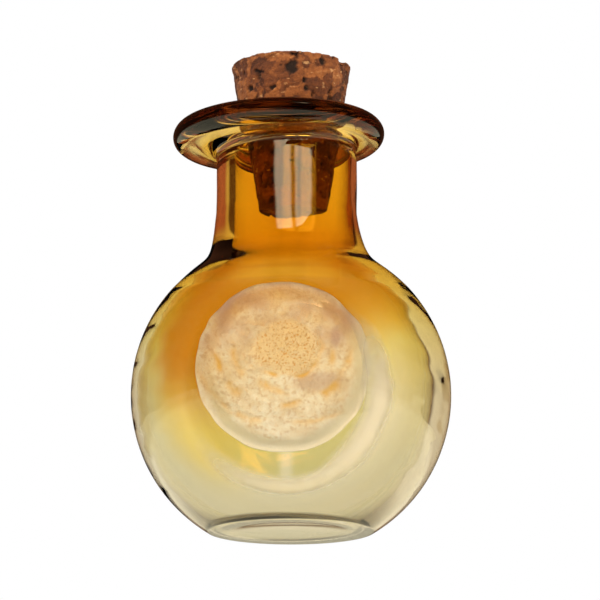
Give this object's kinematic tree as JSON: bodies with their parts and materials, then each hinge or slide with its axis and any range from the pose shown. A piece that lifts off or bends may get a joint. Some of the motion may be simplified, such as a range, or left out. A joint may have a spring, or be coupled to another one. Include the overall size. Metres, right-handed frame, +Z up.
{
  "type": "glass bottle with cork stopper",
  "caption": "Small hand-blown round glass bottle with a short flared neck, a wide rolled lip and a tapered cork stopper that pulls out; a dried residue clings to its inner wall.",
  "frame": {"origin": "centre of the round foot, on the plane that the bottle stands on", "axes": "+Z up the neck, towards the cork; -Y is the front, the side that looks through the clear wall at the residue on the back wall; +X to the right of the front"},
  "size_m": [0.024, 0.024, 0.036],
  "materials": {
    "amber_glass": "fire-polished clear glass, amber at the neck and fading to pale straw at the foot, slightly wavy, with seeds",
    "cork": "matte agglomerated cork with dark pits and pale flecks",
    "pale_sediment": "matte chalky cream crust, finely pitted and folded"
  },
  "bodies": {
    "bottle": {"glass_bottle": "amber_glass", "dried_sediment": "pale_sediment"},
    "stopper": {"cork_stopper": "cork"}
  },
  "joints": [
    {"name": "cork_pull", "type": "slide", "parent": "bottle", "child": "stopper", "axis": [0, 0, 1], "range_m": [0, 0.02]}
  ]
}
